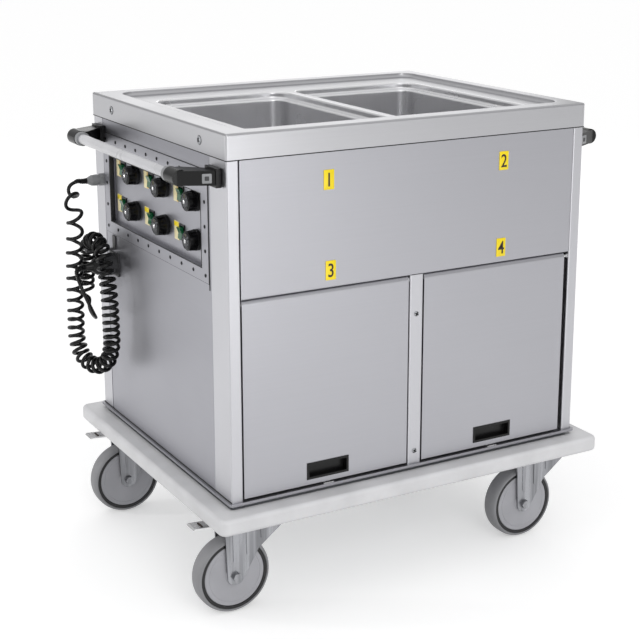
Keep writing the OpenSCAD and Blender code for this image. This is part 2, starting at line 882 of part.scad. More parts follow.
module cover_rivets() {
    edge_y = 13;
    edge_z = 13;
    dy = (cover_w - 2 * edge_y) / (rivets_along - 1);
    dz = (cover_h - 2 * edge_z) / (rivets_up - 1);
    color("dimgray") from_corner() for (i = [0:rivets_along - 1]) for (j = [0:rivets_up - 1])
        if (i == 0 || i == rivets_along - 1 || j == 0 || j == rivets_up - 1)
            translate([0, cover_y + edge_y + i * dy, cover_z + edge_z + j * dz]) rotate([0, -90, 0]) {
                cylinder(r = rivet_dia / 2, h = 0.6);
                translate([0, 0, 0.6]) cylinder(r1 = rivet_dia / 2, r2 = rivet_dia / 4, h = 0.9);
            }
}

// Thermostat behind the tray, with the bore in which a knob's spindle turns
module thermostats() {
    back = tray_x + sheet_t;
    side = 34;
    color("dimgray") from_corner() for (y = knob_y) for (z = knob_z) difference() {
        translate([back, y - side / 2, z - side / 2]) cube([30, side, side]);
        translate([back - over, y, z]) rod_x(spindle_r + running, 22 + over);
    }
}

module knob(i) {
    y = knob_y[2 - i % 3];
    z = knob_z[floor(i / 3)];
    r = knob_dia / 2;
    color("black") from_corner() translate([tray_x - loose, y, z]) rotate([0, -90, 0]) {
        cylinder(r = r, h = 6);
        translate([0, 0, 6]) cylinder(r1 = r, r2 = r - 2, h = knob_l - 8);
        translate([0, 0, knob_l - 2]) cylinder(r1 = r - 2, r2 = r - 3.5, h = 2);
        translate([0, 0, -sheet_t - loose - 20]) cylinder(r = spindle_r, h = sheet_t + loose + 21);
    }
}

module knob_1() { knob(0); }
module knob_2() { knob(1); }
module knob_3() { knob(2); }
module knob_4() { knob(3); }
module knob_5() { knob(4); }
module knob_6() { knob(5); }

// Switch body with its frame on the tray floor and bearings for a rocker
module switch_housings() {
    frame_t = 2;
    deep = 24;
    body_w2 = switch_w - 4;
    body_h2 = switch_h - 4;
    hole_w = rocker_w + 2 * loose;
    hole_h = rocker_h + 3.2;
    color("black") from_corner() for (y = knob_y) for (z = knob_z)
        translate([tray_x, y + switch_offset, z]) difference() {
            union() {
                translate([-frame_t, -switch_w / 2, -switch_h / 2]) cube([frame_t, switch_w, switch_h]);
                translate([-frame_t, -body_w2 / 2, -body_h2 / 2]) cube([deep, body_w2, body_h2]);
            }
            translate([-frame_t - over, -hole_w / 2, -hole_h / 2]) cube([deep - 2, hole_w, hole_h]);
            translate([rocker_x - tray_x, 0, 0]) rod_y(rocker_pin_r + running, body_w2 - 1);
        }
}

// Rocker with a shallow V face, resting with its lower end pressed in
module rocker(i) {
    y = knob_y[2 - i % 3] + switch_offset;
    z = knob_z[floor(i / 3)];
    half = rocker_h / 2;
    color("green") from_corner() translate([rocker_x, y, z]) rotate([0, -rocker_tilt, 0]) {
        rotate([90, 0, 0]) linear_extrude(rocker_w, center = true) polygon([
            [-9, -half], [-6.5, 0], [-9, half], [0, half], [5, 4], [5, -4], [0, -half],
        ]);
        rod_y(rocker_pin_r, switch_w - 5.6);
    }
}

module rocker_1() { rocker(0); }
module rocker_2() { rocker(1); }
module rocker_3() { rocker(2); }
module rocker_4() { rocker(3); }
module rocker_5() { rocker(4); }
module rocker_6() { rocker(5); }

// ---- Handles ----

module at_handles() {
    for (right = [0, 1])
        translate([right * body_w, 0, 0]) mirror([right, 0, 0]) children();
}

module handle_tubes() {
    wall = 2;
    l = handle_y[1] - handle_y[0] + 20;
    color("lightgray") from_corner() at_handles()
        translate([-handle_out, body_d / 2, handle_z]) difference() {
            rod_y(handle_r, l);
            rod_y(handle_r - wall, l + 2 * over);
        }
}

// Bracket: foot on two spacers, arm reaching out and a capped socket for the tube
module handle_bracket() {
    foot_t = 10;
    foot_l = 46;
    foot_h = 34;
    foot_y = -socket_in - foot_l / 2;
    arm_h = 26;
    socket_l = 40;
    difference() {
        union() {
            translate([-foot_t, foot_y, -foot_h / 2]) cube([foot_t, foot_l, foot_h]);
            for (z = [-9, 9]) translate([-1, foot_y + 13, z]) rod_x(6, face + 1);
            linear_extrude(arm_h, center = true) polygon([
                [-foot_t, foot_y + foot_l - 6], [-foot_t, foot_y + 4],
                [-handle_out - 6, -socket_l / 2], [-handle_out, socket_l / 2], [-handle_out + 14, socket_l / 2],
            ]);
            translate([-handle_out, 0, 0]) rod_y(socket_r, socket_l);
        }
        translate([-handle_out, 6 + over, 0]) rod_y(handle_r + running, socket_l - 8 + 2 * over);
    }
}

module handle_brackets() {
    color("black") from_corner() at_handles() {
        translate([0, handle_y[0], handle_z]) handle_bracket();
        translate([0, handle_y[1], handle_z]) mirror([0, 1, 0]) handle_bracket();
    }
}

module handle_collars() {
    l = 12;
    gap = 20 + 0.2;
    color("gray") from_corner() at_handles() for (s = [0, 1])
        translate([-handle_out, s == 0 ? handle_y[0] + gap + l / 2 : handle_y[1] - gap - l / 2, handle_z])
            difference() {
                rod_y(handle_r + 4, l);
                rod_y(handle_r + running, l + 2 * over);
            }
}

// ---- Cord ----

// Where the gland stands and where the plug is parked, from the front left corner
gland_y = body_d - 40;
gland_z = cover_z + 105;
gland_l = 36;
plug_y = 541;
plug_z = cover_z - 64;
plug_front = -22;
plug_rear = -64;

// Route of the cord's middle line, from the front left corner and the lower edge of the
// control cover: a point, the curl's radius there and the number of curls to the next point
route = [
    [[-43, 595, 105], 0, 0],
    [[-58, 592, 102], 4, 0.5],
    [[-78, 572, 89], curl_r, 1],
    [[-82, 544, 59], curl_r, 1],
    [[-80, 548, 19], curl_r, 1],
    [[-80, 556, -17], curl_r, 2],
    [[-80, 562, -72], curl_r, 2],
    [[-80, 565, -122], curl_r, 2],
    [[-80, 566, -167], curl_r, 3],
    [[-80, 566, -219], curl_r, 2.5],
    [[-74, 552, -255], curl_r, 2.5],
    [[-60, 519, -270], curl_r, 2.5],
    [[-46, 486, -255], curl_r, 2.5],
    [[-40, 472, -219], curl_r, 3],
    [[-40, 470, -175], curl_r, 3],
    [[-40, 472, -129], curl_r, 2],
    [[-40, 478, -95], curl_r, 2],
    [[-40, 487, -64], curl_r, 2.5],
    [[-40, 503, -26], curl_r, 2.5],
    [[-40, 541, -10], curl_r, 2.5],
    [[-40, 580, -26], curl_r, 2.5],
    [[-40, 596, -64], curl_r, 2],
    [[-40, 602, -93], curl_r, 2],
    [[-40, 607, -121], curl_r, 1],
    [[-41, 600, -147], 4, 0.5],
    [[-44, 575, -169], 0, 0],
    [[-50, 530, -171], 0, 0],
    [[-68, 506, -143], 0, 0],
    [[-84, 514, -99], 0, 0],
    [[-86, 534, -71], 0, 0],
    [[-73, 541, -64], 0, 0],
];

rings_per_curl = 8;
rings_between = 3;
cord_sides = 6;
cord_start = [face - gland_l, gland_y, gland_z];
cord_end = [plug_rear, plug_y, plug_z];

function unit(v) = v / norm(v);
function spot(i) =
    i < 0 ? cord_start : i >= len(route) ? cord_end : route[i][0] + [0, 0, cover_z];
// Smooth curve through the route's points, u from 0 to 1 between points i and i + 1
function on_route(i, u) =
    let (a = spot(i - 1), b = spot(i), c = spot(i + 1), d = spot(i + 2))
    0.5 * (2 * b + (c - a) * u + (2 * a - 5 * b + 4 * c - d) * pow(u, 2) + (3 * b - a - 3 * c + d) * pow(u, 3));
function eased(u) = u * u * (3 - 2 * u);
function ring_count(i) = max(rings_between, round(rings_per_curl * route[i][2]));
// Curls made before point i
function curls_before(i) = i == 0 ? 0 : curls_before(i - 1) + route[i - 1][2];
// Direction square to t that is nearest to n
function squared(n, t) = unit(n - (n * t) * t);
function directions(p) = [
    for (i = [0:len(p) - 1]) unit(p[min(i + 1, len(p) - 1)] - p[max(i - 1, 0)])
];
// Directions square to the line, carried along it without twist
function normals(t, n0) = [
    for (i = 0, n = squared(n0, t[0]); i < len(t); i = i + 1, n = i < len(t) ? squared(n, t[i]) : n) n
];

// Samples along the route: place, curl radius and phase
samples = concat(
    [for (i = [0:len(route) - 2]) for (k = [0:ring_count(i) - 1])
        let (u = k / ring_count(i))
        [
            on_route(i, u),
            route[i][1] + (route[i + 1][1] - route[i][1]) * eased(u),
            360 * (curls_before(i) + route[i][2] * u),
        ]],
    [[spot(len(route) - 1), 0, 0]]
);
spine = [for (s = samples) s[0]];
spine_t = directions(spine);
spine_n = normals(spine_t, [0, 0, 1]);
cord_line = concat(
    [cord_start],
    [for (i = [0:len(samples) - 1])
        let (n = spine_n[i], b = cross(spine_t[i], n))
        spine[i] + samples[i][1] * (cos(samples[i][2]) * n + sin(samples[i][2]) * b)],
    [cord_end]
);

// Least gap between stretches of the cord that are at least three quarters of a curl apart
function least_gap(p) =
    min([for (i = [0:len(p) - 7]) min([for (j = [i + 6:len(p) - 1]) norm(p[i] - p[j])])]) - cord_dia;
function line_length(p) = len(p) < 2 ? 0 : [for (i = [1:len(p) - 1]) norm(p[i] - p[i - 1])] * [for (i = [1:len(p) - 1]) 1];

// One unbroken tube of cord_sides sides along a line
module tube_along(p, r) {
    t = directions(p);
    n = normals(t, [0, 0, 1]);
    count = len(p);
    points = [for (i = [0:count - 1]) for (k = [0:cord_sides - 1])
        let (a = 360 * k / cord_sides)
        p[i] + r * (cos(a) * n[i] + sin(a) * cross(t[i], n[i]))];
    last = (count - 1) * cord_sides;
    polyhedron(points, concat(
        [for (k = [1:cord_sides - 2]) [0, k, k + 1]],
        [for (k = [1:cord_sides - 2]) [last, last + k + 1, last + k]],
        [for (i = [0:count - 2]) for (k = [0:cord_sides - 1])
            let (a = i * cord_sides + k, b = i * cord_sides + (k + 1) % cord_sides)
            each [[a, a + cord_sides, b + cord_sides], [a, b + cord_sides, b]]]
    ));
}

module curly_cord() {
    echo(least_gap = least_gap(cord_line), cord_length = line_length(cord_line), rings = len(cord_line));
    color("black") from_corner() tube_along(cord_line, cord_dia / 2);
}

// Plug body with its sleeve, and two pins towards the panel
module plug() {
    r = plug_dia / 2;
    l = plug_front - plug_rear;
    color("black") from_corner() translate([plug_front, plug_y, plug_z]) rotate([0, -90, 0]) {
        cylinder(r = r, h = 18);
        translate([0, 0, 18]) cylinder(r1 = r, r2 = r - 7, h = 10);
        translate([0, 0, 28]) cylinder(r1 = r - 9, r2 = cord_dia / 2 + 2, h = l - 28);
        for (y = [-9.5, 9.5]) translate([0, y, -17]) cylinder(r = 2.4, h = 18);
    }
}

// Parking cup for the plug, and the hook over it that carries the coil
module plug_holder() {
    r = plug_dia / 2;
    cup_l = face - plug_front + 6;
    arm_z = plug_z + r + 14;
    arm_l = 62;
    color("darkgray") from_corner() {
        translate([face, plug_y, plug_z]) rotate([0, -90, 0]) difference() {
            union() {
                translate([-r - 5, -r - 5, 0]) cube([2 * r + 10, 2 * r + 10, 3]);
                cylinder(r = r + 4, h = cup_l);
            }
            translate([0, 0, 3]) cylinder(r = r + loose, h = cup_l);
        }
        translate([0, plug_y, 0]) rotate([90, 0, 0]) linear_extrude(14, center = true) polygon([
            [face, arm_z - 2], [-arm_l, arm_z - 2], [-arm_l, arm_z + 6], [-arm_l + 2, arm_z + 6],
            [-arm_l + 2, arm_z], [face - 2, arm_z], [face - 2, cover_z - 4], [face, cover_z - 4],
        ]);
    }
}

module cord_gland() {
    color("darkgray") from_corner() translate([face, gland_y, gland_z]) rotate([0, -90, 0]) difference() {
        union() {
            cylinder(r = gland_dia / 2 + 1, h = 9, $fn = 6);
            translate([0, 0, 9]) cylinder(r = gland_dia / 2 - 1.5, h = 5);
            translate([0, 0, 14]) cylinder(r1 = gland_dia / 2, r2 = gland_dia / 2 - 1, h = 12);
            translate([0, 0, 26]) cylinder(r1 = gland_dia / 2 - 1, r2 = cord_dia / 2 + 2, h = gland_l - 26);
        }
        translate([0, 0, -over]) cylinder(r = cord_dia / 2 - 0.5, h = gland_l - 6);
    }
}

// ---- Drawn nodes ----

top_deck();
well_left();
well_right();
heating_elements();
corner_posts();
front_panel();
left_panel();
right_panel();
back_panel();
mullion();
frame_screws();
plinth();
chassis();
bumper();
cupboard_left();
cupboard_right();
control_cover();
control_tray();
cover_rivets();
thermostats();
switch_housings();
handle_tubes();
handle_brackets();
handle_collars();
door_pins();
door_catches();
castor_plates();
cord_gland();
curly_cord();
plug();
plug_holder();
door_left();
grip_left();
door_right();
grip_right();
knob_1();
knob_2();
knob_3();
knob_4();
knob_5();
knob_6();
rocker_1();
rocker_2();
rocker_3();
rocker_4();
rocker_5();
rocker_6();
fork_front_left();
fork_front_right();
fork_back_left();
fork_back_right();
wheel_front_left();
wheel_front_right();
wheel_back_left();
wheel_back_right();
pedal_front_left();
pedal_front_right();
pedal_back_left();
pedal_back_right();
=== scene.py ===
"""Looks of a stainless steel hostess trolley: its finishes, curly cord, wheels, dials,
strips of painted shade, plates and the stage that it stands on."""
import math

import bmesh
import bpy
from mathutils import Matrix, Vector


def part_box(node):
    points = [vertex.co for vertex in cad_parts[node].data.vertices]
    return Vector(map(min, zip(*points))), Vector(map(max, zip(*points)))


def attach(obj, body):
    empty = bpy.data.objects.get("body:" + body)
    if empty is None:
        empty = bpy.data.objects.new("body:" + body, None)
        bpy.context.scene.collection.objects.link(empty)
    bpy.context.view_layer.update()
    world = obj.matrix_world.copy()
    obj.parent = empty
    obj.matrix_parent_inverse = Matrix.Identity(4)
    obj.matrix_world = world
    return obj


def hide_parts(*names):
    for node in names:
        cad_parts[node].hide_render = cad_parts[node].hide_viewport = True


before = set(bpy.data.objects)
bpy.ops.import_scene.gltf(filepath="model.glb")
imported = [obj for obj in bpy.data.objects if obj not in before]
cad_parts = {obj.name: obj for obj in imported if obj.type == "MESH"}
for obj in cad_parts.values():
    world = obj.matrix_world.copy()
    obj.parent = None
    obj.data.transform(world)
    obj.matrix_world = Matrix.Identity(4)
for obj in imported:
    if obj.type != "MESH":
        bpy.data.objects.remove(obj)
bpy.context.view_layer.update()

MM = 0.001
BODY = "trolley"
CORNERS = ["front_left", "front_right", "back_left", "back_right"]
DECK_LO, DECK_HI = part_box("top_deck")


def at(x, y, z):
    """Place given in millimetres from the body's front left corner and the floor."""
    return Vector((DECK_LO.x + x * MM, DECK_LO.y + y * MM, z * MM))


# ---- Camera ----

def make_camera():
    """Stands off the front left corner, a little above the deck."""
    data = bpy.data.cameras.new("camera")
    camera = bpy.data.objects.new("camera", data)
    bpy.context.scene.collection.objects.link(camera)
    bpy.context.scene.camera = camera
    yaw, pitch = 29.68, -14.04
    focal_px, frame_px = 1425.9, 640
    axis_px = (324.6, 256.0)
    camera.location = at(-1044, -2173, 1303)
    camera.rotation_euler = (math.radians(90 + pitch), 0, math.radians(-yaw))
    data.sensor_width = 36
    data.lens = focal_px / frame_px * data.sensor_width
    data.shift_x = (frame_px / 2 - axis_px[0]) / frame_px
    data.shift_y = -(frame_px / 2 - axis_px[1]) / frame_px
    data.clip_end = 100


make_camera()


# ---- Cord ----

CORD_D = 7.5
CURL_R = 14.5
CORD_START = Vector((-34.5, 595, 737))
CORD_END = Vector((-64, 541, 568))
# Route of the cord's middle line: point, the curl's radius there, curls up to the next point
ROUTE = [
    ((-43, 595, 737), 0, 0),
    ((-58, 592, 734), 4, 0.5),
    ((-78, 572, 721), CURL_R, 1),
    ((-82, 544, 691), CURL_R, 1),
    ((-80, 548, 651), CURL_R, 1),
    ((-80, 556, 615), CURL_R, 2),
    ((-80, 562, 560), CURL_R, 2),
    ((-80, 565, 510), CURL_R, 2),
    ((-80, 566, 465), CURL_R, 3),
    ((-80, 566, 413), CURL_R, 2.5),
    ((-74, 552, 377), CURL_R, 2.5),
    ((-60, 519, 362), CURL_R, 2.5),
    ((-46, 486, 377), CURL_R, 2.5),
    ((-40, 472, 413), CURL_R, 3),
    ((-40, 470, 457), CURL_R, 3),
    ((-40, 472, 503), CURL_R, 2),
    ((-40, 478, 537), CURL_R, 2),
    ((-40, 487, 568), CURL_R, 2.5),
    ((-40, 503, 606), CURL_R, 2.5),
    ((-40, 541, 622), CURL_R, 2.5),
    ((-40, 580, 606), CURL_R, 2.5),
    ((-40, 596, 568), CURL_R, 2),
    ((-40, 602, 539), CURL_R, 2),
    ((-40, 607, 511), CURL_R, 1),
    ((-41, 600, 485), 4, 0.5),
    ((-44, 575, 463), 0, 0),
    ((-50, 530, 461), 0, 0),
    ((-68, 506, 489), 0, 0),
    ((-84, 514, 533), 0, 0),
    ((-86, 534, 561), 0, 0),
    ((-73, 541, 568), 0, 0),
]


def on_route(i, u):
    """Point of the smooth curve between route points i and i + 1."""
    points = [CORD_START] + [Vector(p) for p, _, _ in ROUTE] + [CORD_END]
    a, b, c = points[i], points[i + 1], points[i + 2]
    d = points[min(i + 3, len(points) - 1)]
    return 0.5 * (2 * b + (c - a) * u + (2 * a - 5 * b + 4 * c - d) * u ** 2
                  + (3 * b - a - 3 * c + d) * u ** 3)


def cord_centreline():
    """Points of the cord: a helix whose middle line follows the route."""
    samples = []
    curls = 0
    for i in range(len(ROUTE) - 1):
        _, r0, turns = ROUTE[i]
        r1 = ROUTE[i + 1][1]
        steps = max(8, round(24 * turns))
        for k in range(steps):
            u = k / steps
            radius = r0 + (r1 - r0) * u * u * (3 - 2 * u)
            samples.append((on_route(i, u), radius, math.tau * (curls + turns * u)))
        curls += turns
    samples.append((Vector(ROUTE[-1][0]), 0, 0))
    spine = [p for p, _, _ in samples]
    normal = Vector((0, 0, 1))
    line = [CORD_START.copy()]
    for i, (p, radius, phase) in enumerate(samples):
        along = (spine[min(i + 1, len(spine) - 1)] - spine[max(i - 1, 0)]).normalized()
        normal = (normal - normal.dot(along) * along).normalized()
        side = along.cross(normal)
        line.append(p + radius * (math.cos(phase) * normal + math.sin(phase) * side))
    line.append(CORD_END.copy())
    return [at(*p) for p in line]


def tube(name, stations, resolution, smooth):
    """Capped round tube as a mesh, through stations of a place and a radius in millimetres."""
    curve = bpy.data.curves.new(name, "CURVE")
    curve.dimensions = "3D"
    spline = curve.splines.new("POLY")
    spline.points.add(len(stations) - 1)
    for point, (place, radius) in zip(spline.points, stations):
        point.co = (*place, 1)
        point.radius = radius
    curve.bevel_depth = MM
    curve.bevel_resolution = resolution
    curve.use_fill_caps = True
    obj = bpy.data.objects.new(name, curve)
    bpy.context.scene.collection.objects.link(obj)
    bpy.ops.object.select_all(action="DESELECT")
    bpy.context.view_layer.objects.active = obj
    obj.select_set(True)
    bpy.ops.object.convert(target="MESH")
    bpy.ops.object.shade_smooth_by_angle(angle=math.radians(smooth))
    return bpy.context.object


def make_cord():
    """Round tube along the centreline, parked by its plug."""
    points = cord_centreline()
    cord = tube("curly_lead", [(p, CORD_D / 2) for p in points], 4, 50)
    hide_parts("curly_cord")
    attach(cord, BODY)
    return cord


def make_sleeve(name, line, radii):
    """Ribbed strain relief round the first stretch of a line."""
    reach = [0.0]
    for a, b in zip(line, line[1:]):
        reach.append(reach[-1] + (b - a).length / MM)
    stations = []
    for s, radius in radii:
        k = max(i for i in range(len(reach) - 1) if reach[i] <= s)
        share = (s - reach[k]) / (reach[k + 1] - reach[k])
        stations.append((line[k].lerp(line[k + 1], share), radius))
    sleeve = tube(name, stations, 5, 40)
    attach(sleeve, BODY)
    return sleeve


RIB_DEPTH = 0.7


def ribbed_taper(length, wide, narrow, rib):
    """Distance and radius, in millimetres, along a sleeve with ribs every 2 * rib."""
    count = round(length / rib)
    steps = []
    for i in range(count + 1):
        radius = wide + (narrow - wide) * i / count
        inner = radius - (RIB_DEPTH if i % 2 else 0)
        steps.append((length * i / count, inner))
        if i < count:
            steps.append((length * i / count + rib * 0.6, inner))
    return steps


centreline = cord_centreline()
SLEEVES = [make_sleeve("gland_sleeve", centreline, ribbed_taper(26, 6.4, 4.4, 2.0)),
           make_sleeve("plug_sleeve", centreline[::-1], ribbed_taper(30, 6.8, 4.4, 2.0))]
cord = make_cord()


# ---- Materials ----

def linear(hex_colour):
    """Linear RGBA of an sRGB hex colour."""
    channels = [int(hex_colour[i:i + 2], 16) / 255 for i in (1, 3, 5)]
    return [c / 12.92 if c <= 0.04045 else ((c + 0.055) / 1.055) ** 2.4 for c in channels] + [1.0]


def add(tree, kind, inputs=None, **settings):
    """Adds a node with its settings; an input is a value or another node's output."""
    new = tree.nodes.new(kind)
    for name, value in settings.items():
        setattr(new, name, value)
    for name, value in (inputs or {}).items():
        if isinstance(value, bpy.types.NodeSocket):
            tree.links.new(value, new.inputs[name])
        else:
            new.inputs[name].default_value = value
    return new


def new_material(name):
    """Material with a Principled shader, and its tree."""
    material = bpy.data.materials.new(name)
    material.use_nodes = True
    tree = material.node_tree
    return material, tree, tree.nodes["Principled BSDF"]


def tint(tree, shader, noise, colour, low, high, spread=(0.3, 0.7)):
    """Colours a shader, darker and lighter with a noise by the factors low and high."""
    tone = add(tree, "ShaderNodeMapRange",
               {"Value": noise.outputs["Fac"], "From Min": spread[0], "From Max": spread[1],
                "To Min": low, "To Max": high})
    mixed = add(tree, "ShaderNodeMix",
                {"Factor": 1.0, "A": linear(colour), "B": tone.outputs["Result"]},
                data_type="RGBA", blend_type="MULTIPLY")
    tree.links.new(mixed.outputs["Result"], shader.inputs["Base Color"])


def gloss(tree, shader, noise, low, high, spread=(0.3, 0.7)):
    """Varies the roughness of a shader from low to high with a noise."""
    level = add(tree, "ShaderNodeMapRange",
                {"Value": noise.outputs["Fac"], "From Min": spread[0], "From Max": spread[1],
                 "To Min": low, "To Max": high})
    tree.links.new(level.outputs["Result"], shader.inputs["Roughness"])


def relief(tree, shader, noise, strength):
    """Marks the surface with a noise, 0.3 mm deep at full strength."""
    bump = add(tree, "ShaderNodeBump",
               {"Height": noise.outputs["Fac"], "Strength": strength, "Distance": 0.3 * MM})
    tree.links.new(bump.outputs["Normal"], shader.inputs["Normal"])


def stretched_noise(tree, sizes, detail, roughness=0.5):
    """Noise in marks whose size along X, Y and Z is given in millimetres."""
    place = add(tree, "ShaderNodeTexCoord").outputs["Object"]
    mapped = add(tree, "ShaderNodeMapping",
                 {"Vector": place, "Scale": [1000 / size for size in sizes]})
    return add(tree, "ShaderNodeTexNoise",
               {"Vector": mapped.outputs["Vector"], "Scale": 1.0, "Detail": detail,
                "Roughness": roughness})


def round_noise(tree, scale, detail):
    """Noise in marks of one size all ways; scale is how many come in a metre."""
    place = add(tree, "ShaderNodeTexCoord").outputs["Object"]
    return add(tree, "ShaderNodeTexNoise", {"Vector": place, "Scale": scale, "Detail": detail})


def brushed_stainless(name, colour, roughness, grain):
    """Stainless sheet with a ground finish. Fine parallel scratches spread its reflections
    across the grain, so panels look soft and even, with faint streaks. grain holds the
    length of a scratch along X, Y and Z in millimetres; a real one is finer than a pixel
    and is drawn a millimetre wide."""
    material, tree, shader = new_material(name)
    streaks = stretched_noise(tree, grain, 3.0, roughness=0.6)
    tint(tree, shader, streaks, colour, 0.985, 1.01)
    gloss(tree, shader, round_noise(tree, 5.0, 2.0), roughness - 0.02, roughness + 0.03)
    relief(tree, shader, streaks, 0.015)
    shader.inputs["Metallic"].default_value = 1.0
    return material


def plated_steel(name, colour, roughness):
    """Pressed steel with bright zinc plating: a soft mirror with cloudy patches a
    centimetre across, where the plating took differently."""
    material, tree, shader = new_material(name)
    clouds = round_noise(tree, 90.0, 4.0)
    tint(tree, shader, clouds, colour, 0.94, 1.03)
    gloss(tree, shader, clouds, roughness - 0.08, roughness + 0.1, spread=(0, 1))
    shader.inputs["Metallic"].default_value = 1.0
    return material


def drawn_zinc(name, colour, roughness):
    """Zinc plated sheet drawn in a press: bright and dark bands a centimetre wide are painted down
    the legs as light and shade on the pressed ribs."""
    material, tree, shader = new_material(name)
    bands = stretched_noise(tree, (12, 30, 260), 2.0)
    # Painted highlight and shade in bands down the legs
    tint(tree, shader, bands, colour, 0.62, 1.08, spread=(0.35, 0.65))
    gloss(tree, shader, bands, roughness + 0.08, roughness - 0.04, spread=(0.35, 0.65))
    shader.inputs["Metallic"].default_value = 1.0
    return material


def moulded(name, colour, roughness, pore, depth, sheen=0.5):
    """Injection moulded plastic or rubber: one even colour with a fine pored skin.
    pore is the spacing of the pores in millimetres and depth how hard they mark; sheen is
    how much of the light the smooth skin throws back."""
    material, tree, shader = new_material(name)
    shader.inputs["Specular IOR Level"].default_value = sheen
    wear = round_noise(tree, 14.0, 3.0)
    tint(tree, shader, wear, colour, 0.92, 1.06)
    gloss(tree, shader, wear, roughness - 0.05, roughness + 0.05)
    relief(tree, shader, round_noise(tree, 1000 / pore, 2.0), depth)
    return material


# One stainless steel in copies of different base colour: the ends are painted darker as shade, the
# wells lighter as the light their walls throw on each other, and the front, posts, deck and
# cupboard linings each have a tone of their own as well as their own run of grain.
STAINLESS_FRONT = brushed_stainless("brushed stainless, grain along the front",
                                    "#acacb1", 0.38, (400, 1.2, 1.2))
STAINLESS_UPRIGHT = brushed_stainless("brushed stainless, upright grain",
                                      "#bfbfc3", 0.38, (1.2, 1.2, 400))
STAINLESS_END_SHADED = brushed_stainless("brushed stainless, grain along the end",
                                  "#a0a0a6", 0.40, (1.2, 400, 1.2))
STAINLESS_TOP = brushed_stainless("brushed stainless deck", "#b8b8bb", 0.32, (400, 1.2, 1.2))
STAINLESS_WELL_LIT = brushed_stainless("satin stainless well", "#e8e8ea", 0.28, (1.5, 1.5, 200))
STAINLESS_LINING = brushed_stainless("satin stainless lining", "#dcdcde", 0.40, (1.5, 400, 1.5))
ZINC = plated_steel("zinc plated steel", "#c2c4c8", 0.28)
FORK_ZINC = drawn_zinc("zinc plated pressed fork", "#a2a3a7", 0.28)
BRIGHT = plated_steel("bright nickel plated steel", "#d9d9da", 0.22)
BLACKENED = plated_steel("blackened steel rivet", "#2b2b2d", 0.35)
DULL_STEEL = plated_steel("galvanised steel tray", "#a6a8ab", 0.45)
BUMPER = moulded("grey PVC bumper", "#d4d4d6", 0.42, 1.0, 0.05)
BLACK_NYLON = moulded("black nylon moulding", "#0b0b0c", 0.30, 0.8, 0.10, sheen=0.3)
DARK_NYLON_AND_SHADE = moulded("dark grey nylon moulding", "#3c3c3e", 0.40, 0.8, 0.10, sheen=0.4)
BLACK_GLOSSY = moulded("black phenolic knob", "#060607", 0.20, 1.2, 0.03, sheen=0.3)
GREY_NYLON = moulded("grey nylon moulding", "#8d8e90", 0.40, 0.8, 0.08)
HANDLE = moulded("light grey coated handle tube", "#cfcfd2", 0.30, 1.2, 0.03)
CORD_JACKET = moulded("black polyurethane cord jacket", "#060607", 0.30, 1.0, 0.05, sheen=0.3)
TYRE = moulded("grey rubber tyre", "#8b8b8e", 0.55, 1.0, 0.15)
WHEEL_CENTRE = moulded("grey polypropylene wheel centre", "#a6a6ab", 0.38, 1.0, 0.06)
WHEEL_RING = moulded("black polypropylene thread guard", "#101012", 0.42, 1.0, 0.06)
GREEN_LENS = moulded("green polycarbonate rocker", "#0d5a34", 0.16, 3.0, 0.01)
OXIDE = moulded("oxidised heating rod", "#232325", 0.55, 1.0, 0.2)
YELLOW_PLATE = moulded("yellow engraving laminate", "#f7dc12", 0.35, 2.0, 0.03)
CREAM_PLATE = moulded("cream engraving laminate", "#efe3b4", 0.38, 2.0, 0.03)
# Flat black painted where shade falls: in gaps, on a recess wall and round the washers
PAINTED_SHADE = moulded("black painted shade strip", "#161617", 0.55, 0.8, 0.1)
TAN_PLATE = moulded("tan engraving laminate", "#d9b268", 0.38, 2.0, 0.03)
# Dark print on the numerals, and painted shade in the screw recesses and the pedal slots
DARK_PRINT_AND_SHADE = moulded("dark filled engraving and painted shade", "#2a1d16", 0.5, 1.0, 0.05)
DIAL_FACE = plated_steel("smoked aluminium dial", "#4a4b4e", 0.30)

NODE_FINISH = {
    "top_deck": STAINLESS_TOP, "well_left": STAINLESS_WELL_LIT, "well_right": STAINLESS_WELL_LIT,
    "heating_elements": OXIDE, "corner_posts": STAINLESS_UPRIGHT, "front_panel": STAINLESS_FRONT,
    "left_panel": STAINLESS_END_SHADED, "right_panel": STAINLESS_END_SHADED, "back_panel": STAINLESS_FRONT,
    "mullion": STAINLESS_UPRIGHT, "frame_screws": DULL_STEEL, "plinth": STAINLESS_FRONT,
    "chassis": DULL_STEEL, "bumper": BUMPER, "cupboard_left": STAINLESS_LINING,
    "cupboard_right": STAINLESS_LINING, "control_cover": STAINLESS_END_SHADED,
    "control_tray": STAINLESS_END_SHADED, "cover_rivets": BLACKENED, "thermostats": BLACK_NYLON,
    "switch_housings": BLACK_NYLON,
    "handle_tubes": HANDLE, "handle_brackets": BLACK_NYLON, "handle_collars": GREY_NYLON,
    "door_pins": BRIGHT, "door_catches": BRIGHT, "castor_plates": ZINC, "cord_gland": GREY_NYLON,
    # The plug holder's dark grey is partly painted shade, for the shadow of the coiled cord
    "plug": BLACK_NYLON, "plug_holder": DARK_NYLON_AND_SHADE, "door_left": STAINLESS_FRONT,
    "door_right": STAINLESS_FRONT, "grip_left": BLACK_NYLON, "grip_right": BLACK_NYLON,
}
NODE_FINISH.update({f"knob_{i}": BLACK_GLOSSY for i in range(1, 7)})
NODE_FINISH.update({f"rocker_{i}": GREEN_LENS for i in range(1, 7)})
for corner in CORNERS:
    NODE_FINISH.update({f"fork_{corner}": FORK_ZINC, f"pedal_{corner}": BRIGHT,
                        f"wheel_{corner}": TYRE})


def dress(obj, material):
    """Gives an object one material all over."""
    if not obj.material_slots:
        obj.data.materials.append(material)
    for slot in obj.material_slots:
        slot.material = material


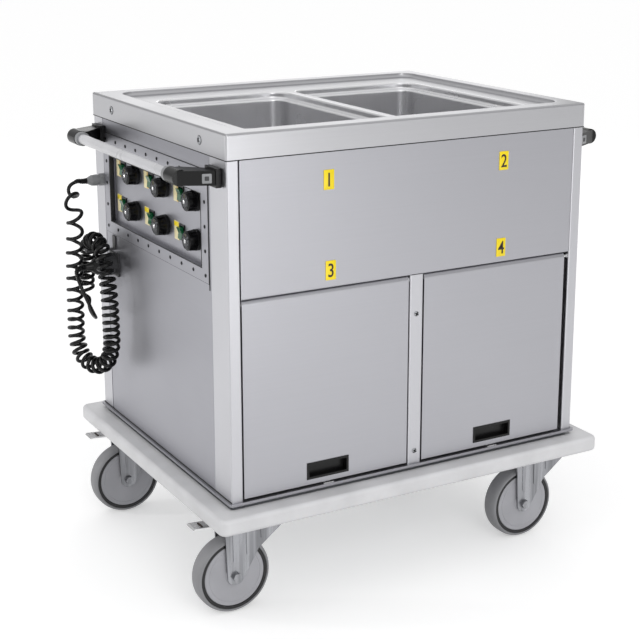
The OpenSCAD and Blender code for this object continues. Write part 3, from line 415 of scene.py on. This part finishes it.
for name, material in NODE_FINISH.items():
    dress(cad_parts[name], material)
for piece in [cord] + SLEEVES:
    dress(piece, CORD_JACKET)


# ---- Modelling by hand ----

def begin(obj):
    """Opens an object for editing with nothing selected in it."""
    bpy.ops.object.select_all(action="DESELECT")
    bpy.context.view_layer.objects.active = obj
    obj.select_set(True)
    bpy.ops.object.mode_set(mode="EDIT")
    bpy.ops.mesh.select_mode(type="FACE")
    bpy.ops.mesh.select_all(action="DESELECT")


def pick(obj, test):
    """Selects the faces whose middle and normal pass the test."""
    mesh = bmesh.from_edit_mesh(obj.data)
    for face in mesh.faces:
        face.select_set(bool(test(face.calc_center_median(), face.normal)))
    bmesh.update_edit_mesh(obj.data)


def pick_edges(obj, test):
    """Selects the edges whose two ends pass the test."""
    bpy.ops.mesh.select_mode(type="EDGE")
    mesh = bmesh.from_edit_mesh(obj.data)
    for edge in mesh.edges:
        edge.select_set(bool(test(edge.verts[0].co, edge.verts[1].co)))
    bmesh.update_edit_mesh(obj.data)


def finished(obj, name, material, smooth=30):
    """Closes editing, puts the object's place into its mesh and gives it its finish."""
    if bpy.context.mode == "EDIT_MESH":
        bpy.ops.object.mode_set(mode="OBJECT")
    bpy.ops.object.select_all(action="DESELECT")
    bpy.context.view_layer.objects.active = obj
    obj.select_set(True)
    bpy.ops.object.transform_apply(location=True, rotation=True, scale=True)
    bpy.ops.object.shade_smooth_by_angle(angle=math.radians(smooth))
    obj.name = name
    obj.data.name = name
    dress(obj, material)
    return obj


def copied(obj, name, place, turn=0):
    """Copy with its own mesh, turned about the upright axis and moved by place."""
    twin = obj.copy()
    twin.data = obj.data.copy()
    twin.name = name
    twin.data.name = name
    bpy.context.scene.collection.objects.link(twin)
    twin.data.transform(Matrix.Translation(place) @ Matrix.Rotation(math.radians(turn), 4, "Z"))
    return twin


def fixed(obj, body):
    """Rides on a body."""
    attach(obj, body)


def plate(name, size, material, edge=0.4):
    """Thin plate with rounded corners and softened edges, its back on the origin."""
    bpy.ops.object.select_all(action="DESELECT")
    bpy.ops.mesh.primitive_cube_add(size=1)
    obj = bpy.context.object
    obj.scale = [s * MM for s in size]
    bpy.ops.object.transform_apply(scale=True)
    begin(obj)
    thin = min(range(3), key=lambda axis: size[axis])
    pick_edges(obj, lambda a, b: abs((a - b)[thin]) > 0.5 * size[thin] * MM)
    bpy.ops.mesh.bevel(offset=1.5 * MM, segments=4, affect="EDGES")
    bpy.ops.mesh.select_all(action="SELECT")
    bpy.ops.object.mode_set(mode="OBJECT")
    bevel = obj.modifiers.new("softened edge", "BEVEL")
    bevel.width = edge * MM
    bevel.segments = 2
    bevel.limit_method = "ANGLE"
    bpy.ops.object.modifier_apply(modifier=bevel.name)
    return finished(obj, name, material)


def bar(name, lo, hi, material, slot="black_plastic", edge=0.25):
    """Bar with softened edges between two corners given as places on the body, riding on it."""
    bpy.ops.object.select_all(action="DESELECT")
    bpy.ops.mesh.primitive_cube_add(size=1)
    obj = bpy.context.object
    low, high = at(*lo), at(*hi)
    obj.scale = high - low
    obj.location = (low + high) / 2
    bpy.ops.object.transform_apply(location=True, scale=True)
    bevel = obj.modifiers.new("softened edge", "BEVEL")
    bevel.width = edge * MM
    bevel.segments = 2
    bpy.ops.object.modifier_apply(modifier=bevel.name)
    fixed(finished(obj, name, material), BODY)
    return obj


# ---- Painted shade strips ----

# Heights of the painted shade in the gaps under the apron and at the foot of the body
APRON_SHADE_Z = (866.8, 869.0)
FOOT_SHADE_Z = (236.0, 237.6)
WINDOW_Y, WINDOW_Z = (108, 550), (657.5, 793.5)


def ring_of_shade_strips(name, heights, out, sides):
    """Black strip of painted shade along the sides of the body, standing in from its edges by out.
    """
    wide, deep, _ = [v / MM for v in DECK_HI - DECK_LO]
    far_x, far_y = wide - out, deep - out
    z0, z1 = heights
    runs = {
        "front": ((out, out, z0), (far_x, out + 2.5, z1)),
        "back": ((out, far_y - 2.5, z0), (far_x, far_y, z1)),
        "left": ((out, out + 2, z0), (out + 2.5, far_y - 2, z1)),
        "right": ((far_x - 2.5, out + 2, z0), (far_x, far_y - 2, z1)),
    }
    for side in sides:
        bar(f"{name}_{side}", *runs[side], PAINTED_SHADE)


def make_shade_strips():
    """Black strips of painted shade: in the shadow gaps under the apron and at the foot of the
    body, round the control cover and its window, and on the shaded back wall of the window's
    recess."""
    ring_of_shade_strips("apron_shade_strip", APRON_SHADE_Z, 0.5, ("front", "back", "left", "right"))
    ring_of_shade_strips("foot_shade_strip", FOOT_SHADE_Z, 0.7, ("back", "left", "right"))

    lo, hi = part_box("control_cover")
    y0, y1 = (lo.y - DECK_LO.y) / MM, (hi.y - DECK_LO.y) / MM
    z0, z1 = lo.z / MM, hi.z / MM
    # Painted shade in the gaps round the raised control cover
    bar("cover_shade_strip_front", (0.6, y0 - 2.6, z0 - 12), (1.6, y0 - 0.1, z1 + 1), PAINTED_SHADE)
    bar("cover_shade_strip_back", (0.6, y1 + 0.1, z0 - 1), (1.6, y1 + 1.2, z1 + 1), PAINTED_SHADE)
    bar("cover_shade_strip_top", (0.6, y0 - 0.1, z1 + 0.1), (1.6, y1 + 1, z1 + 1.1), PAINTED_SHADE)
    bar("cover_shade_strip_foot", (0.6, y0 - 0.1, z0 - 1.1), (1.6, y1 + 1, z0 - 0.1), PAINTED_SHADE)

    (y0, y1), (z0, z1) = WINDOW_Y, WINDOW_Z
    # Painted shade along the edges of the window
    bar("window_shade_strip_front", (-0.5, y0 - 1.2, z0), (0.4, y0 + 0.4, z1), PAINTED_SHADE)
    bar("window_shade_strip_back", (-0.5, y1 - 0.4, z0), (0.4, y1 + 2.2, z1), PAINTED_SHADE)
    # Painted shade on the back wall of the window's recess, which lies in shadow
    bar("window_reveal_shade", (0.5, y1 - 0.9, z0 + 0.4), (9.6, y1 - 0.2, z1 - 0.5), PAINTED_SHADE)
    bar("window_shade_strip_top", (-0.5, y0 - 1.2, z1 - 0.4), (0.4, y1 + 2.2, z1 + 1), PAINTED_SHADE)
    bar("window_shade_strip_foot", (-0.5, y0 - 1.2, z0 - 1.8), (0.4, y1 + 2.2, z0 + 0.2), PAINTED_SHADE)


make_shade_strips()


# ---- Number plates ----

# Each plate's place along the front and its height
NUMBER_PLATES = {"1": (204, 817), "2": (591, 817), "3": (208, 649), "4": (590, 646)}
PLATE_SIZE = (21.5, 1, 36.5)
NUMERAL_H = 25


def numeral(text, height):
    """Bold numeral standing upright, facing the front, centred on the origin."""
    bpy.ops.object.select_all(action="DESELECT")
    bpy.ops.object.text_add()
    obj = bpy.context.object
    obj.data.body = text
    obj.data.align_x = "CENTER"
    obj.data.align_y = "CENTER"
    obj.data.size = height * MM / 0.7
    obj.data.offset = 0.0003
    obj.data.extrude = 0.0002
    obj.rotation_euler = (math.radians(90), 0, 0)
    obj.scale.x = 0.82
    bpy.ops.object.convert(target="MESH")
    return bpy.context.object


def make_number_plates():
    """Yellow plate with a dark numeral over each well and each door."""
    face_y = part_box("front_panel")[0].y
    blank = plate("number_plate", PLATE_SIZE, YELLOW_PLATE)
    for text, (x, z) in NUMBER_PLATES.items():
        centre = at(x, 0, z)
        centre.y = face_y - PLATE_SIZE[1] / 2 * MM
        fixed(copied(blank, f"number_plate_{text}", centre), BODY)
        mark = numeral(text, NUMERAL_H)
        lo = Vector([min(c[i] for c in mark.bound_box) for i in range(3)])
        hi = Vector([max(c[i] for c in mark.bound_box) for i in range(3)])
        middle = (lo + hi) / 2
        mark.location = centre + Vector((-middle.x, -PLATE_SIZE[1] / 2 * MM - 0.0001, -middle.y))
        fixed(finished(mark, f"numeral_{text}", DARK_PRINT_AND_SHADE), BODY)
    bpy.data.objects.remove(blank)


make_number_plates()


# ---- Switch plates ----

def make_switch_plates():
    """Cream plate beside each rocker, on the floor of the control tray: a tan edge on the
    upper three and a yellow head on the lower three."""
    blank = plate("switch_plate", (1, 22, 36), CREAM_PLATE)
    head = plate("switch_plate_head", (0.5, 20, 9), YELLOW_PLATE, edge=0.15)
    tan = plate("switch_plate_edge", (0.5, 5, 34), TAN_PLATE, edge=0.15)
    beside = 25 * MM
    for i in range(1, 7):
        lo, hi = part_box(f"rocker_{i}")
        centre = Vector((DECK_LO.x + 10.5 * MM, (lo.y + hi.y) / 2 + beside, (lo.z + hi.z) / 2))
        fixed(copied(blank, f"switch_plate_{i}", centre), BODY)
        if i > 3:
            on_top = centre + Vector((-0.0007, 0, 0.0125))
            fixed(copied(head, f"switch_plate_head_{i}", on_top), BODY)
        else:
            beside_it = centre + Vector((-0.0007, -0.0075, 0))
            fixed(copied(tan, f"switch_plate_edge_{i}", beside_it), BODY)
    for obj in (blank, head, tan):
        bpy.data.objects.remove(obj)


make_switch_plates()


# ---- Knobs ----

def disc(name, radius, depth, steps, material, sides=64):
    """Round piece along X: a cylinder whose outer end is shaped by steps of inset and push."""
    bpy.ops.object.select_all(action="DESELECT")
    bpy.ops.mesh.primitive_cylinder_add(vertices=sides, radius=radius * MM, depth=depth * MM,
                                        rotation=(0, math.radians(-90), 0))
    obj = bpy.context.object
    bpy.ops.object.transform_apply(rotation=True)
    begin(obj)
    pick(obj, lambda middle, normal: normal.x < -0.9)
    for inset, push in steps:
        bpy.ops.mesh.inset(thickness=inset * MM)
        bpy.ops.transform.translate(value=(-push * MM, 0, 0))
    return finished(obj, name, material)


def fluted_knob():
    """Round black knob with a foot, a slightly tapered grip and sixteen shallow flutes."""
    steps = [(0.5, 0.3), (1.5, 15.7), (0.5, 0.6), (1.0, 0.9), (1.2, 0.5), (0.6, -0.5)]
    knob = disc("knob_grip", 20, 6, steps, BLACK_GLOSSY)
    begin(knob)

    pitch = 360 / 16

    def in_flute(middle, normal):
        side = abs(normal.x) < 0.3 and -14 * MM < middle.x < -8 * MM
        turn = math.degrees(math.atan2(middle.z, middle.y)) % pitch
        return side and abs(turn - pitch / 2) < 3.5

    pick(knob, in_flute)
    bpy.ops.mesh.inset(thickness=0.00015, depth=-0.0006, use_individual=False)
    return finished(knob, "knob_grip", BLACK_GLOSSY)


def make_dials():
    """Knob, smoked dial with light marks, its bright cap and a pointer, six times over."""
    grip = fluted_knob()
    face = disc("dial_face", 15.0, 1.0, [(0.6, 0.3), (1.2, -0.2), (5.5, 0), (0.8, 0.5)], DIAL_FACE)
    cap = disc("dial_cap", 4.0, 2.4, [(0.8, 0.5), (1.4, 0.3), (0.5, -0.4)], BRIGHT)
    pointer = plate("dial_pointer", (0.8, 1.8, 8), CREAM_PLATE, edge=0.2)
    tick = plate("dial_mark", (0.3, 1.1, 3.6), BUMPER, edge=0.05)
    for i in range(1, 7):
        lo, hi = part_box(f"knob_{i}")
        front = Vector((lo.x, (lo.y + hi.y) / 2, (lo.z + hi.z) / 2))
        body = f"knob_{i}"
        knob = copied(grip, f"knob_grip_{i}", front + Vector((0.021, 0, 0)))
        fixed(knob, body)
        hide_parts(f"knob_{i}")
        fixed(copied(face, f"dial_face_{i}", front + Vector((-0.0002, 0, 0))), body)
        fixed(copied(cap, f"dial_cap_{i}", front + Vector((-0.0008, 0, 0))), body)
        place = front + Vector((-0.0010, 0, 0.0105))
        fixed(copied(pointer, f"dial_pointer_{i}", place), body)
        for k in range(1, 11):
            turn = Matrix.Rotation(math.tau * k / 11, 4, "X")
            mark = copied(tick, f"dial_mark_{i}_{k}", (0, 0, 0))
            mark.data.transform(Matrix.Translation(front + Vector((-0.0009, 0, 0))) @ turn
                                @ Matrix.Translation((0, 0, 0.0118)))
            fixed(mark, body)
    for obj in (grip, face, cap, pointer, tick):
        bpy.data.objects.remove(obj)


make_dials()


# ---- Wheels ----

def ring_disc(name, radius, width, steps, material, sides=96):
    """Round piece along Y whose two ends are shaped alike by steps of inset and push."""
    bpy.ops.object.select_all(action="DESELECT")
    bpy.ops.mesh.primitive_cylinder_add(vertices=sides, radius=radius * MM, depth=width * MM,
                                        rotation=(math.radians(90), 0, 0))
    obj = bpy.context.object
    bpy.ops.object.transform_apply(rotation=True)
    begin(obj)
    for side in (-1, 1):
        pick(obj, lambda middle, normal: (normal.y * side > 0.9
                                          and math.hypot(middle.x, middle.z) < MM))
        for inset, push in steps:
            bpy.ops.mesh.inset(thickness=inset * MM)
            bpy.ops.transform.translate(value=(0, side * push * MM, 0))
    return finished(obj, name, material)


def make_wheels():
    """Grey tyre with rounded shoulders, black thread guard and flat grey centre, four times."""
    lo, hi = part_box("wheel_front_left")
    radius = (hi.x - lo.x) / 2 / MM
    tyre = ring_disc("tyre", radius, 12,
                     [(0.3, 4.0), (0.9, 3.6), (1.4, 2.8), (1.8, 1.9), (1.4, 0.7), (0.8, -0.3),
                      (0.4, -1.0), (0.4, -4)], TYRE)
    guard = ring_disc("thread_guard", 68.0, 33.4,
                      [(0.7, 0.8), (5.4, 0), (0.6, -1.3), (0.3, -1)], WHEEL_RING)
    centre = ring_disc("wheel_centre", 61.2, 32.2,
                       [(0.8, 0.7), (7, 0), (0.5, -0.5), (0.6, 0), (0.5, 0.5), (32.6, 0),
                        (1.5, 1.0), (1.4, 2.2), (1.0, 0.4)], WHEEL_CENTRE)
    for corner in CORNERS:
        lo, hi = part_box(f"wheel_{corner}")
        middle = (lo + hi) / 2
        body = f"wheel_{corner}"
        pieces = [copied(obj, f"{obj.name}_{corner}", middle) for obj in (tyre, guard, centre)]
        for piece in pieces:
            fixed(piece, body)
        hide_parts(f"wheel_{corner}")
    for obj in (tyre, guard, centre):
        bpy.data.objects.remove(obj)


make_wheels()


# ---- Brake pedals ----

def make_pedal_treads():
    """Two pressed ribs and a strip of painted shade for a slot across the foot of each brake pedal.
    """
    for corner in CORNERS:
        lo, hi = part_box(f"pedal_{corner}")
        rib = plate("pedal_rib", (3.0, (hi.y - lo.y) / MM - 6, 1.6), BRIGHT, edge=0.5)
        # Dark plate painted as the shade in the pedal's slot
        slot = plate("pedal_slot", (4.5, (hi.y - lo.y) / MM - 12, 0.6), DARK_PRINT_AND_SHADE, edge=0.15)
        middle_y = (lo.y + hi.y) / 2
        for k, along in enumerate((6, 12)):
            place = Vector((lo.x + along * MM, middle_y, hi.z - 0.0004 - along * 0.00006))
            fixed(copied(rib, f"pedal_rib_{corner}_{k}", place), f"pedal_{corner}")
        place = Vector((lo.x + 20 * MM, middle_y, hi.z - 0.0009))
        fixed(copied(slot, f"pedal_slot_{corner}", place), f"pedal_{corner}")
        for obj in (rib, slot):
            bpy.data.objects.remove(obj)


make_pedal_treads()


# ---- Screws ----

APRON_SCREW_Y = (107, 528)
APRON_SCREW_Z = 890
MULLION_SCREW_Z = (("low", 262), ("high", 539))


def make_screw_details():
    """Cup washer on a painted shade ring at each apron screw; a painted shade cross in every frame
    screw.
    """
    washer = disc("cup_washer", 8.0, 0.8,
                  [(0.6, 0.6), (1.2, 0.2), (0.8, -0.9), (0.3, -0.2)], DULL_STEEL)
    # Black disc a little wider than the washer, painted as the shade round its rim
    shade = disc("washer_seat", 8.8, 0.5, [(0.3, 0.1)], PAINTED_SHADE)
    # Dark cross painted as the shade in each screw's cross recess
    cross = plate("screw_recess", (0.6, 2.0, 8.6), DARK_PRINT_AND_SHADE, edge=0.1)
    lo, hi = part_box("frame_screws")
    places = []
    for end, x, turn in (("left", lo.x, 0), ("right", hi.x, 180)):
        out = -1 if end == "left" else 1
        for depth in APRON_SCREW_Y:
            middle = Vector((x, DECK_LO.y + depth * MM, APRON_SCREW_Z * MM))
            name = f"{end}_{depth}"
            rim = copied(washer, f"cup_washer_{name}", middle - Vector((out * 0.0018, 0, 0)), turn)
            fixed(rim, BODY)
            shade_ring = copied(shade, f"washer_seat_{name}", middle - Vector((out * 0.0021, 0, 0)), turn)
            fixed(shade_ring, BODY)
            places.append((name, middle, 0))
    mullion_lo, mullion_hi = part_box("mullion")
    middle_x = (mullion_lo.x + mullion_hi.x) / 2
    for name, z in MULLION_SCREW_Z:
        places.append((f"mullion_{name}", Vector((middle_x, lo.y, z * MM)), 90))
    for name, middle, turn in places:
        for k, lean in enumerate((35, 125)):
            mark = copied(cross, f"screw_recess_{name}_{k}", (0, 0, 0))
            mark.data.transform(Matrix.Translation(middle)
                                @ Matrix.Rotation(math.radians(turn), 4, "Z")
                                @ Matrix.Rotation(math.radians(lean), 4, "X"))
            fixed(mark, BODY)
    for obj in (washer, shade, cross):
        bpy.data.objects.remove(obj)


make_screw_details()


# ---- Handle brackets ----

def make_bracket_insets():
    """Square grey cap with a dark middle, let into the outer side of each bracket's arm."""
    cap = plate("bracket_inset", (17, 1.0, 17), GREY_NYLON)
    core = plate("bracket_core", (8, 1.6, 8), DARK_NYLON_AND_SHADE)
    wide, deep, _ = [v / MM for v in DECK_HI - DECK_LO]
    lean, out, along, height = 19.9, 23.5, 27.4, 836
    for corner in CORNERS:
        left, front = "left" in corner, "front" in corner
        place = at(-out if left else wide + out, along if front else deep - along, height)
        turn = -lean if left == front else lean
        fixed(copied(cap, f"bracket_inset_{corner}", place, turn), BODY)
        fixed(copied(core, f"bracket_core_{corner}", place, turn), BODY)
    for obj in (cap, core):
        bpy.data.objects.remove(obj)


make_bracket_insets()


# ---- Stage ----

FLOOR_LIFT = 0.38
# Name, place, aim, width in metres and watts of each lamp
LAMPS = (
    ("key", (-0.9, -4.2, 2.6), (0, 0, 0.5), 2.2, 46),
    ("fill", (0.3, -3.2, 0.5), (0, 0, 0.4), 1.0, 9),
    ("back", (2.2, 4.0, 1.9), (0, 0, 0.8), 2.6, 20),
    ("side", (-2.6, 1.2, 0.9), (-0.4, 0.1, 0.5), 0.2, 11),
)


def either(tree, first, second):
    """The larger of two outputs, each 0 or 1 for a kind of ray, or a tone."""
    return add(tree, "ShaderNodeMath", {0: first, 1: second}, operation="MAXIMUM").outputs[0]


def make_stage():
    """White floor, soft lights and a surround that is brighter overhead, white to the camera."""
    bpy.ops.object.select_all(action="DESELECT")
    bpy.ops.mesh.primitive_plane_add(size=60, location=(0, 0, -0.0005))
    floor = bpy.context.object
    floor.name = "floor"
    material, tree, shader = new_material("white floor")
    shader.inputs["Base Color"].default_value = linear("#e4e4e4")
    shader.inputs["Roughness"].default_value = 0.9
    ray = add(tree, "ShaderNodeLightPath")
    seen = either(tree, ray.outputs["Is Camera Ray"], ray.outputs["Is Glossy Ray"])
    seen = either(tree, seen, ray.outputs["Is Transmission Ray"])
    lift = add(tree, "ShaderNodeMath", {0: seen, 1: FLOOR_LIFT}, operation="MULTIPLY")
    shader.inputs["Emission Color"].default_value = (1, 1, 1, 1)
    tree.links.new(lift.outputs[0], shader.inputs["Emission Strength"])
    dress(floor, material)

    world = bpy.data.worlds.new("studio")
    bpy.context.scene.world = world
    world.use_nodes = True
    tree = world.node_tree
    tree.nodes.clear()
    direction = add(tree, "ShaderNodeTexCoord").outputs["Generated"]
    lean = add(tree, "ShaderNodeVectorMath", {0: direction, 1: (-0.08, -0.05, 0.55)},
               operation="DOT_PRODUCT")
    tone = add(tree, "ShaderNodeMapRange",
               {"Value": lean.outputs["Value"], "From Min": -0.25, "From Max": 0.55,
                "To Min": 0.22, "To Max": 0.95})
    ray = add(tree, "ShaderNodeLightPath")
    seen = either(tree, tone.outputs["Result"], ray.outputs["Is Camera Ray"])
    around = add(tree, "ShaderNodeBackground", {"Color": seen, "Strength": 1.0})
    out = add(tree, "ShaderNodeOutputWorld")
    tree.links.new(around.outputs["Background"], out.inputs["Surface"])

    for name, place, aim, size, power in LAMPS:
        data = bpy.data.lights.new(name, "AREA")
        data.size = size
        data.energy = power
        lamp = bpy.data.objects.new(name, data)
        bpy.context.scene.collection.objects.link(lamp)
        lamp.location = place
        towards = Vector(aim) - Vector(place)
        lamp.rotation_euler = towards.to_track_quat("-Z", "Y").to_euler()
        lamp.visible_camera = False
    bpy.context.scene.view_settings.view_transform = "Standard"


make_stage()
